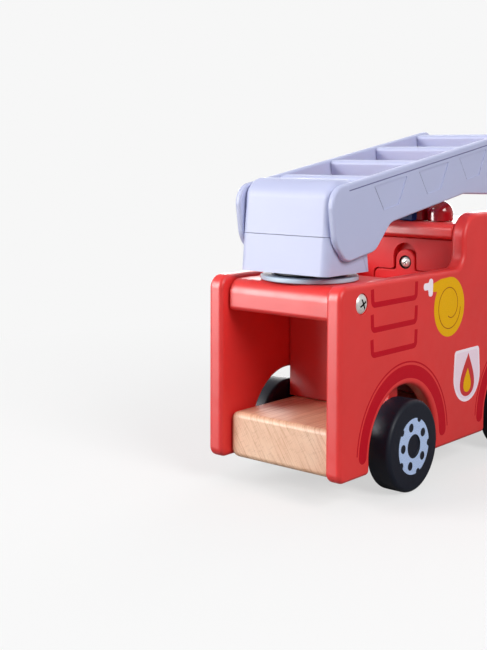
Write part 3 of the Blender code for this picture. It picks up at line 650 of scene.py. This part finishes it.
def flame(centre_s, low, high, width, lean):
    """A teardrop with its point up. The factor 1.42 brings its formula to the full width."""
    points = []
    for i in range(60):
        turn = math.tau * i / 60
        up = (1 + math.cos(turn)) / 2
        out = 1.42 * math.sin(turn) * math.sin(turn / 2) ** 1.4
        points.append(Vector((centre_s + out * width / 2 + lean * up * up, low + (high - low) * up)))
    return points


def shield_print():
    """A pale shield with a simple flame."""
    centre = 125.0
    side_print("shield_edge", [shield(centre, 0.0)], INK_WHITE)
    side_print("shield_field", [shield(centre, 1.5)], INK_LILAC, layer=2)
    side_print("shield_flame", [flame(centre, 39.3, 63.7, 16.0, 1.5)], INK_FLAME, layer=3)
    side_print("shield_spark", [flame(centre, 41.7, 55.3, 8.2, 0.8)], INK_YELLOW, layer=4)


# ---------------------------------------------------------------- wooden body


def panel_outline():
    """The side of the vehicle: bonnet, windscreen, cab, shoulder, deck and two wheel arches."""
    front, low, top = RIGHT.s1, RIGHT.z0, RIGHT.z1
    points = rounded([(front, low, 7.0), (front, 87.7, 12.0), (212.0, 92.7, 6.0), (200.0, top, 12.0),
                      (SHOULDER_S, top, 15.0), (SHOULDER_S, DECK_LEVEL, 9.0), (0.0, DECK_LEVEL, 7.0),
                      (0.0, low, 5.0)])
    for wheel_s in (REAR_WHEEL_S, FRONT_WHEEL_S):
        centre = (wheel_s - ARCH_BACK, ARCH_Z)
        rim = arc(centre, ARCH_R, 180, 0, 60)
        points += [Vector((centre[0] - ARCH_R, low)), *rim, Vector((centre[0] + ARCH_R, low))]
    return points


def side_panels():
    """The painted side boards, with their cab windows and screw seats."""
    window = rounded([(153.0, 95.7, 6.0), (202.0, 95.7, 6.0), (196.0, 121.2, 6.0), (153.0, 121.2, 6.0)])
    for side, word in SIDES:
        limits = span(f"side_panel_{word}")
        panel = round_edges(extruded([panel_outline()], limits.x0, limits.x1), PANEL_ROUNDING, 5)
        combine(panel, flared(window, limits.x0, limits.x1, PANEL_ROUNDING))
        outer = limits.outer(side)
        for screw in (SCREW, ROOF_SCREW):
            bottom = (outer - side * SEAT_DEPTH, screw.s, screw.z)
            combine(panel, cylinder(HEAD_R + GAP, bottom, (outer + side * BEYOND, screw.s, screw.z)))
        fine(panel, f"side_panel_{word}", RED)


def floor_block():
    """A beech block whose long edges are well rounded, bored for the axles."""
    outline = rectangle((FLOOR.x0, FLOOR.z0), (FLOOR.x1, FLOOR.z1), (4.6, 4.6, 3.8, 3.8))
    floor = round_edges(extruded([outline], FLOOR.s0, FLOOR.s1, ACROSS), 3.0, 5)
    for wheel_s in (REAR_WHEEL_S, FRONT_WHEEL_S):
        combine(floor, cylinder(AXLE_HOLE_R, (-40, wheel_s, WHEEL_R), (40, wheel_s, WHEEL_R)))
    fine(floor, "floor_block", BEECH)


def boards():
    """The deck, bored for the turret's bolt, the boards of the bay and the well, and the cab's roof."""
    deck = bar(DECK, (2.4, 2.0, 3.0, 7.5), 1.9)
    bolt_s = span("turntable_disc").s
    head_top = DECK.z0 + BOLT_HEAD_HOLE_DEPTH
    combine(deck, cylinder(BOLT_HEAD_HOLE_R, (0, bolt_s, DECK.z0 - BEYOND), (0, bolt_s, head_top)))
    combine(deck, cylinder(BOLT_HOLE_R, (0, bolt_s, DECK.z0), (0, bolt_s, DECK.z1 + BEYOND)))
    fine(deck, "rear_deck", RED)

    for node in ("bay_wall", "well_floor", "well_wall"):
        fine(round_edges(block_of(span(node)), 0.8), node, RED)

    roof = bar(ROOF, (2.4, 3.5, 4.0, 4.4), 0.9)
    for word in ("right", "middle", "left"):
        beacon = span(f"beacon_{word}")
        bottom = (beacon.x, beacon.s, ROOF.z1 - ROOF_HOLE_DEPTH)
        combine(roof, cylinder(SPIGOT_HOLE_R, bottom, (beacon.x, beacon.s, ROOF.z1 + BEYOND), 32))
    fine(roof, "cab_roof", RED)


def bracket_outline(grow, tab_r, tab_z):
    """The bracket from behind: a low plate with a round tab in its middle."""
    limits = span("wall_bracket")
    half, top, low = limits.x1 + grow, limits.z1 - 12.2 + grow, limits.z0 - grow
    foot = [(tab_r, top, 1.4), (half, top, 3.5), (half, low, 2.0), (-half, low, 2.0), (-half, top, 3.5),
            (-tab_r, top, 1.4)]
    corners = [(-tab_r, tab_z, 0), *reversed(foot), (tab_r, tab_z, 0)]
    return rounded(corners) + arc((0.0, tab_z), tab_r, 0, 180, 28)[1:-1]


def rear_wall():
    """The wall behind the cab, its arched pocket, and the bracket that sits in it."""
    bracket = span("wall_bracket")
    hole_z = span("bracket_screw").z
    wall = round_edges(block_of(WALL), 0.8, 3)
    pocket = extruded([bracket_outline(0.6, 7.8, 115.6)], WALL.s0 - BEYOND, bracket.s1 + GAP, ACROSS)
    # The wall and bracket take the darker red copy: painted shade.
    fine(combine(wall, pocket), "cab_rear_wall", DULL_SHADED_RED)
    plate = extruded([bracket_outline(0.0, 6.5, 112.9)], bracket.s0, bracket.s1, ACROSS)
    toned(round_edges(plate, 0.9), DULL_SHADED_RED)
    # The seat's cut faces take the near-black red: painted shade around the screw head.
    for radius, depth in ((4.0, 1.6), (1.4, 8.0)):
        hole = cylinder(radius, (0, bracket.s0 - BEYOND, hole_z), (0, bracket.s0 + depth, hole_z))
        combine(plate, toned(hole, SCREW_SEAT_SHADE))
    fine(plate, "wall_bracket", DULL_SHADED_RED)


def nose():
    """The board below the windscreen, bored for the headlights, with a printed grille."""
    step_s, step_z = FLOOR.s1 + GAP, FLOOR.z1 + GAP
    corners = [(step_s, NOSE.z0, 1.0), (NOSE.s1, NOSE.z0, 4.0), (NOSE.s1, NOSE.z1, 11.0),
               (NOSE.s0, NOSE.z1, 3.0), (NOSE.s0, step_z, 1.0), (step_s, step_z, 0)]
    front = round_edges(extruded([rounded(corners)], NOSE.x0, NOSE.x1), 1.1)
    for word in ("right", "left"):
        light = span(f"headlight_{word}")
        bottom = (light.x, NOSE.s1 - NOSE_HOLE_DEPTH, light.z)
        combine(front, cylinder(SPIGOT_HOLE_R, bottom, (light.x, NOSE.s1 + BEYOND, light.z), 32))
    fine(front, "cab_nose", RED)
    for i in range(3):
        z = 70.7 - 6.6 * i
        outline = rectangle((-9.0, z), (9.0, z + 2.8), (1.4, 1.4, 1.4, 1.4))
        ink = extruded([outline], NOSE.s1 - PRINT_DEPTH, NOSE.s1 + PRINT_PROUD, ACROSS)
        deliver(ink, f"grille_bar_{i + 1}", INK_RED, "cab_nose", replaces=False)


def fittings():
    """The small dark block on the roof, the driver's seat and the bumper."""
    fine(round_edges(block_of(span("ladder_rest")), 0.9), "ladder_rest", BLUE)
    fine(bar(span("driver_seat"), (0.8, 2.0, 4.0, 2.5), 2.0), "driver_seat", BEECH)
    fine(bar(span("front_bumper"), (1.0, 3.2, 3.2, 1.0), 2.6), "front_bumper", LILAC)


def beacons():
    """Round-topped lamps on spigots."""
    for word in ("right", "middle", "left"):
        limits = span(f"beacon_{word}")
        radius, base = (limits.x1 - limits.x0) / 2, ROOF.z1 + GAP
        height, tail = limits.z1 - base, limits.z0 - base
        spigot = [Vector((0, tail)), Vector((SPIGOT_R, tail)), Vector((SPIGOT_R, 0))]
        foot = [Vector((radius - 0.4, 0)), Vector((radius, 0.4))]
        profile = [*spigot, *foot, *arc((0.0, height - radius), radius, 0, 90, 20)]
        profile[-1] = Vector((0.0, height))
        fine(turned(profile, (limits.x, limits.s, base)), f"beacon_{word}", BEACON)


def headlights():
    """Shallow cups on spigots, with a raised rim."""
    for word in ("right", "left"):
        limits = span(f"headlight_{word}")
        radius, face = (limits.x1 - limits.x0) / 2, NOSE.s1 + GAP
        depth, tail = limits.s1 - face, limits.s0 - face
        profile = rounded([(0, tail), (SPIGOT_R, tail), (SPIGOT_R, 0), (radius, 0, 0.4),
                           (radius, depth - 1.2, 1.0), (radius - 1.6, depth, 0.6),
                           (radius - 2.0, depth - 0.7, 0.3), (0, depth - 0.1)])
        fine(turned(profile, (limits.x, face, limits.z), (0, 1, 0)), f"headlight_{word}", CREAM)


# ---------------------------------------------------------------- fasteners


def cross_cutter(reach, width, depth, turn):
    """A Phillips recess, pointing down local Z and narrowing with depth."""
    outline = []
    for quarter in range(4):
        rotate = Matrix.Rotation(turn + quarter * math.pi / 2, 2)
        for point in ((reach, -width / 2), (reach, width / 2), (width / 2, width / 2)):
            outline.append(rotate @ Vector(point))
    rings = ((1.0, 1.0), (1.0, 0.0), (0.62, -depth))
    return lofted([[(*(point * share), height) for point in outline] for share, height in rings])


def pan_head(node, axis, turn):
    """A zinc pan-head screw with a Phillips recess. axis is where its head faces, in (x, s, z)."""
    limits = span(node)
    axis = Vector(axis)
    sizes = Vector((limits.x1 - limits.x0, limits.s1 - limits.s0, limits.z1 - limits.z0))
    along = next(i for i in range(3) if axis[i])
    length = sizes[along]
    radius = max(sizes[i] for i in range(3) if i != along) / 2
    point = Vector((limits.x, limits.s, limits.z)) - axis * length / 2
    head_h = radius * 0.5 if radius > 4 else radius * 0.66
    shank_r, under = radius * 0.37, length - head_h
    profile = rounded([(0, 0), (shank_r * 0.6, 1.6 * shank_r), (shank_r, 2.6 * shank_r), (shank_r, under),
                       (radius, under, 0.2), (radius, under + head_h * 0.42, radius * 0.18),
                       (radius * 0.62, length - head_h * 0.06, radius * 0.9), (0, length)])
    screw = toned(turned(profile, point, axis, 72), ZINC)
    # The cross recess's faces take the dark zinc: painted shade.
    tool = toned(cross_cutter(radius * 0.60, radius * 0.20, head_h * 0.62, turn), RECESS_SHADE)
    facing = Vector((0, 0, 1)).rotation_difference(spot(*axis)).to_matrix().to_4x4()
    tool.data.transform(Matrix.Translation(spot(*(point + axis * length))) @ facing)
    fine(combine(screw, tool), node, ZINC)


def fasteners():
    for i, (side, word) in enumerate(SIDES):
        pan_head(f"deck_screw_{word}", (side, 0, 0), 0.45 + 0.5 * i)
        pan_head(f"roof_screw_{word}", (side, 0, 0), 0.2 + 0.7 * i)
    pan_head("bracket_screw", (0, -1, 0), 0.55)


# ---------------------------------------------------------------- wheels

HUB_R, HUB_HOLE_R, STUD_R, STUD_AT, NOTCH_R = 14.7, 6.2, 2.3, 10.5, 1.9
STUD_START, STUDS = 106.0, 5


def hub_outline(centre):
    """A disc with a notch between each two studs."""
    points = []
    reach = math.degrees(2 * math.asin(NOTCH_R / 2 / HUB_R))
    pitch = 360 / STUDS
    for i in range(STUDS):
        notch = STUD_START + pitch * (i + 0.5)
        angle = math.radians(notch)
        place = (centre[0] + HUB_R * math.cos(angle), centre[1] + HUB_R * math.sin(angle))
        points += arc(place, NOTCH_R, notch - 95, notch - 265, 14)
        points += arc(centre, HUB_R, notch + reach, notch + pitch - reach, 16)[1:-1]
    return points


def wheel(node, side, wheel_s):
    """A wheel with rounded rims and the hub printed on its outer face."""
    limits = span(node)
    thick, bore, blind = limits.x1 - limits.x0, 2.7, 5.2
    profile = rounded([(bore, thick - blind), (bore, 0), (WHEEL_R, 0, 2.2), (WHEEL_R, thick, 2.4),
                       (HUB_HOLE_R, thick, 0.3), (HUB_HOLE_R - 0.3, thick - 0.7, 0.3), (0, thick - 0.5)])
    profile.insert(0, Vector((0, thick - blind)))
    fine(turned(profile, (limits.outer(-side), wheel_s, WHEEL_R), (side, 0, 0), 128), node, NAVY)
    centre = (wheel_s, WHEEL_R)
    studs = []
    for i in range(STUDS):
        angle = math.radians(STUD_START + 360 / STUDS * i)
        stud = (wheel_s + STUD_AT * math.cos(angle), WHEEL_R + STUD_AT * math.sin(angle))
        studs.append(circle(stud, STUD_R, 28))
    outlines = [hub_outline(centre), circle(centre, HUB_HOLE_R + 0.1, 64), *studs]
    face = abs(limits.outer(side))
    ink = extruded(outlines, *on_side(side, face - PRINT_DEPTH, face + PRINT_PROUD))
    deliver(ink, f"{node}_print", INK_HUB, node, replaces=False)


def wheels():
    for label, wheel_s in (("rear", REAR_WHEEL_S), ("front", FRONT_WHEEL_S)):
        for side, word in SIDES:
            wheel(f"{label}_wheel_{word}", side, wheel_s)


# ---------------------------------------------------------------- turntable and turret


def turntable():
    """The pale disc on the deck and the bearing that the turret turns on."""
    for node, finish in (("turntable_disc", DISC), ("turret_bearing", NAVY)):
        limits = span(node)
        radius, high = (limits.x1 - limits.x0) / 2, limits.z1 - limits.z0
        edge = min(0.8, high * 0.3)
        bore = BOLT_HOLE_R
        profile = rounded([(bore, 0), (radius, 0, edge), (radius, high, edge), (bore, high)])
        profile.append(profile[0].copy())
        fine(turned(profile, (0, limits.s, limits.z0), steps=128), node, finish)


def lean_in(obj, low, high, foot, top):
    """Narrows a block from its half-width at the foot to that at the top."""
    for vert in obj.data.vertices:
        share = min(1.0, max(0.0, (vert.co.z - low) / (high - low)))
        vert.co.x *= (foot + (top - foot) * share) / foot
    return obj


def turret():
    """One rounded block, parted along its seam into a base and a cap. Only its foot has sharp edges."""
    base, cap = span("turret_base"), span("turret_cap")
    rear, low, seam_z, nose_s, below = base.s0, base.z0, base.z1, 48.9, 12.0
    foot, top = base.x1, cap.x1
    hump_r, rear_r, top_z = 17.5, 11.0, PIVOT_Z + 17.5
    hump = arc((PIVOT_S, PIVOT_Z), hump_r, 0, 90, 24)
    lean, height = 3.6, top_z - rear_r - low
    rear_round = arc((rear + lean / 2 + rear_r, top_z - rear_r), rear_r, 90, 180, 20)
    foot_s = rear - lean / 2 - lean * below / height
    foot_line = [Vector((foot_s, low - below)), Vector((nose_s, low - below)), Vector((nose_s, low))]
    outline = foot_line + hump + rear_round

    def above_seam(lift):
        corners = [(rear - 5, seam_z + lift), (35.1, seam_z + lift, 7.0), (44.45 + lift, low),
                   (42.0 + lift, low - 5), (80.0, low - 5), (80.0, top_z + 10), (rear - 5, top_z + 10)]
        return extruded([rounded(corners)], -40, 40)

    for node, lift, operation in (("turret_base", 0.0, "DIFFERENCE"), ("turret_cap", GAP, "INTERSECT")):
        body = round_edges(extruded([outline], -foot, foot), 4.4, 7)
        lean_in(body, low, seam_z, foot, top)
        combine(body, block((-40, 40), (0, 60), (low - below - 5, low)))
        combine(body, above_seam(lift), operation)
        fine(body, node, LILAC, sharp=28)


# ---------------------------------------------------------------- ladder

RAIL_TOP, RAIL_LOW, RAIL_END = 16.0, -10.9, 182.0
CELL_START, CELL_PITCH, CELL_TOP, CELL_LOW, CELL_DEPTH = 20.4, 44.4, 10.4, -3.2, 0.45
RAIL_LINE_V = 12.5


def ladder_limits(node):
    """A ladder node's limits in the ladder's own frame, which its tilt hides from span()."""
    inverse = LADDER.inverted()
    points = [inverse @ vert.co for vert in frame["nodes"][node].data.vertices]
    xs, forward, ups = [p.x for p in points], [-p.y for p in points], [p.z for p in points]
    return Span(min(xs), max(xs), min(forward), max(forward), min(ups), max(ups))


def rail_outline():
    """The side of a base rail: a deep ear at the pivot, a straight rail and a shallow front foot."""
    foot_v = RAIL_LOW - 6.0
    return rounded([(-17.6, RAIL_TOP, 10.5), (-17.6, -12.0, 15.0), (-9.5, -23.0, 8.0), (17.0, -23.0, 12.0),
                    (33.5, RAIL_LOW - 0.4, 11.0), (112.0, RAIL_LOW, 14.0), (RAIL_END - 40.0, foot_v, 18.0),
                    (RAIL_END, foot_v, 11.0), (RAIL_END, RAIL_TOP, 8.0)])


def truss_cells():
    """The shallow panels between the rail's struts."""
    cells = []
    for i, top in enumerate((32.0, 32.0, 32.0, 21.0)):
        a = CELL_START + CELL_PITCH * i
        cells.append(rounded([(a, CELL_TOP, 0.5), (a + top, CELL_TOP, 0.5),
                              (a + top - 10.5, CELL_LOW, 0.8), (a + 6.8, CELL_LOW, 0.8)]))
    return cells


def rails():
    """The base rails, engraved outside, each with a shelf inside that carries the extension."""
    inner, outer, shelf_reach = 27.7, 31.3, 25.0
    for side, word in SIDES:
        rail = round_edges(extruded([rail_outline()], *on_side(side, inner, outer)), 1.25)
        toned(rail, LILAC)
        shallow = on_side(side, outer - CELL_DEPTH, outer + BEYOND)
        for cell in truss_cells():
            combine(rail, extruded([cell], *shallow))
        # The long groove's faces take a darker lilac: painted shade.
        line = rectangle((-2.5, RAIL_LINE_V - 0.28), (RAIL_END - 7.0, RAIL_LINE_V + 0.28))
        combine(rail, toned(extruded([line], *shallow), GROOVE_SHADE))
        # The struts' grooves take a still darker lilac: painted shade along their edges.
        deep = on_side(side, outer - CELL_DEPTH - 0.5, outer + BEYOND)
        for i in range(4):
            a = CELL_START + CELL_PITCH * i
            strut = [Vector((a + 0.3, CELL_TOP)), Vector((a + 7.1, CELL_LOW))]
            combine(rail, toned(extruded([stroke(strut, 0.8)], *deep), STRUT_GROOVE_SHADE))
        shelf = rectangle((64.0, -10.6), (RAIL_END - 6.0, -8.6), (0.6, 0.6, 0.6, 0.6))
        combine(rail, extruded([shelf], *on_side(side, shelf_reach, inner + 1.5)), "UNION")
        fine(rail, f"ladder_rail_{word}", LILAC, LADDER, sharp=30)


def rungs():
    """Flat-bottomed rungs with a round top."""
    for prefix, low_r in (("ladder_rung", 1.4), ("extension_rung", 1.0)):
        for i in range(1, 5):
            node = f"{prefix}_{i}"
            size = ladder_limits(node)
            top_r = (size.s1 - size.s0) / 2 - low_r
            fine(bar(size, (low_r, low_r, top_r, top_r), 0.35, 2), node, LILAC, LADDER)


def extension():
    """The rails of the inner ladder."""
    for node in ("extension_rail_right", "extension_rail_left"):
        fine(bar(ladder_limits(node), (3.0, 5.0, 5.0, 3.0), 0.8, 3), node, LILAC, LADDER)


def kept_nodes():
    """CAD pieces whose shape is right and that only need a finish."""
    metal_ones = ("rear_axle", "front_axle", "turret_washer", "turret_bolt", "ladder_pivot_pin")
    finishes = dict.fromkeys(metal_ones, ZINC)
    finishes |= {node: BEECH for node in BODY_OF if "dowel" in node}
    for node, finish in finishes.items():
        obj = frame["nodes"][node]
        obj.data.materials.clear()
        obj.data.materials.append(finish)


# ---------------------------------------------------------------- stage, light and camera

WHITE = (1.0, 1.0, 1.0, 1.0)
BACKDROP = (0.93, 0.93, 0.93, 1.0)
FLOOR_SHADE, FLOOR_BOUNCE = (0.86, 0.86, 0.86, 1.0), (0.3, 0.3, 0.3, 1.0)
CAMERA_AHEAD = (0.68, -0.73, 0.06)
TOY_MIDDLE = Vector((0.0, 0.0, 0.09))
EYE_X, EYE_BEHIND, EYE_Z = -0.3536, 0.4555, 0.1803
HEADING, PITCH = math.radians(-47.37), math.radians(3.02)
LENS, SHIFT_X, SHIFT_Y = 63.34, 0.1043, -0.1835
FADE_FROM, FADE_TO, LEAST_GLOW = 0.14, 0.50, 0.64


def floor_finish():
    """A pale floor that takes the toy's shadow and is the backdrop's tone everywhere else."""
    finish = Finish("pale_floor")
    seen = finish.add("LightPath").outputs["Is Camera Ray"]
    dull = finish.add("BsdfDiffuse", Color=finish.mix(seen, FLOOR_BOUNCE, FLOOR_SHADE)).outputs[0]
    glow = finish.add("Emission", Color=BACKDROP, Strength=1.0).outputs[0]
    distance = finish.number("VectorMath", "LENGTH", finish.place)
    far = finish.remap(distance, FADE_FROM, FADE_TO, LEAST_GLOW, 1.0)
    surface = finish.mix_shaders(finish.product(far, seen), dull, glow)
    finish.set(finish.tree.nodes["Material Output"], Surface=surface)
    return finish.material


def stage():
    bm = bmesh.new()
    bmesh.ops.create_circle(bm, cap_ends=True, radius=12.0, segments=64)
    mesh = bpy.data.meshes.new("floor")
    bm.to_mesh(mesh)
    bm.free()
    floor = bpy.data.objects.new("floor", mesh)
    bpy.context.scene.collection.objects.link(floor)
    mesh.materials.append(floor_finish())


def backdrop():
    """An even pale backdrop for the camera, and soft light from all round, strongest from ahead of it."""
    world = bpy.data.worlds.new("studio")
    bpy.context.scene.world = world
    world.use_nodes = True
    world.node_tree.nodes.clear()
    nodes = Nodes(world.node_tree)
    ahead = nodes.dot(nodes.add("TexCoord").outputs["Generated"], CAMERA_AHEAD)
    strength = nodes.remap(ahead, -0.9, 1.0, 0.15, 0.60)
    ambient = nodes.add("Background", Color=WHITE, Strength=strength).outputs[0]
    plain = nodes.add("Background", Color=BACKDROP).outputs[0]
    seen = nodes.add("LightPath").outputs["Is Camera Ray"]
    nodes.add("OutputWorld", Surface=nodes.mix_shaders(seen, ambient, plain))


def softbox(name, place, size, watts, sheen_only=False):
    """A rectangular area light, in metres, turned to the toy. It may serve for reflections alone."""
    light = bpy.data.lights.new(name, "AREA")
    light.shape = "RECTANGLE"
    light.size, light.size_y = size
    light.energy = watts
    lamp = bpy.data.objects.new(name, light)
    bpy.context.scene.collection.objects.link(lamp)
    lamp.location = place
    lamp.rotation_euler = (TOY_MIDDLE - Vector(place)).to_track_quat("-Z", "Y").to_euler()
    lamp.visible_diffuse = not sheen_only


def camera():
    """The camera looks at the right rear corner. Its lens is shifted only while it stands there."""
    data = bpy.data.cameras.new("camera")
    data.lens = LENS
    data.clip_start, data.clip_end = 0.01, 50.0
    eye = bpy.data.objects.new("camera", data)
    bpy.context.scene.collection.objects.link(eye)
    eye.location = (EYE_X, REAR_Y + EYE_BEHIND, EYE_Z)
    level = math.cos(PITCH)
    look = Vector((math.cos(HEADING) * level, math.sin(HEADING) * level, -math.sin(PITCH)))
    eye.rotation_euler = look.to_track_quat("-Z", "Y").to_euler()
    for name, shift in (("shift_x", SHIFT_X), ("shift_y", SHIFT_Y)):
        driver = data.driver_add(name).driver
        driver.type = "SCRIPTED"
        place = driver.variables.new()
        place.name = "x"
        place.type = "TRANSFORMS"
        place.targets[0].id = eye
        place.targets[0].transform_type = "LOC_X"
        place.targets[0].transform_space = "WORLD_SPACE"
        driver.expression = f"{shift} if abs(x + {-EYE_X}) < 0.0005 else 0.0"
    bpy.context.scene.camera = eye


def build():
    side_panels()
    floor_block()
    boards()
    rear_wall()
    nose()
    fittings()
    beacons()
    headlights()
    fasteners()
    wheels()
    turntable()
    turret()
    rails()
    rungs()
    extension()
    arch_print("rear_arch", REAR_WHEEL_S - ARCH_BACK)
    arch_print("front_arch", FRONT_WHEEL_S - ARCH_BACK)
    louvre_prints()
    hose_print()
    shield_print()
    kept_nodes()
    stage()
    backdrop()
    softbox("right", (-1.15, 0.40, 0.90), (0.70, 0.70), 13.6)
    softbox("rear_left", (0.78, 1.10, 0.70), (0.75, 0.55), 15.5)
    softbox("rear_left_sheen", (0.80, 1.12, 0.42), (0.80, 0.50), 15.0, sheen_only=True)
    softbox("low_sheen", (0.76, 1.08, 0.12), (0.90, 0.24), 11.0, sheen_only=True)
    softbox("ahead", (0.30, -1.4, 0.7), (0.9, 0.7), 6.0)
    softbox("ahead_sheen", (1.0, -1.1, 0.30), (1.6, 0.5), 22.0, sheen_only=True)
    camera()
    bpy.context.scene.view_settings.view_transform = "Standard"


build()
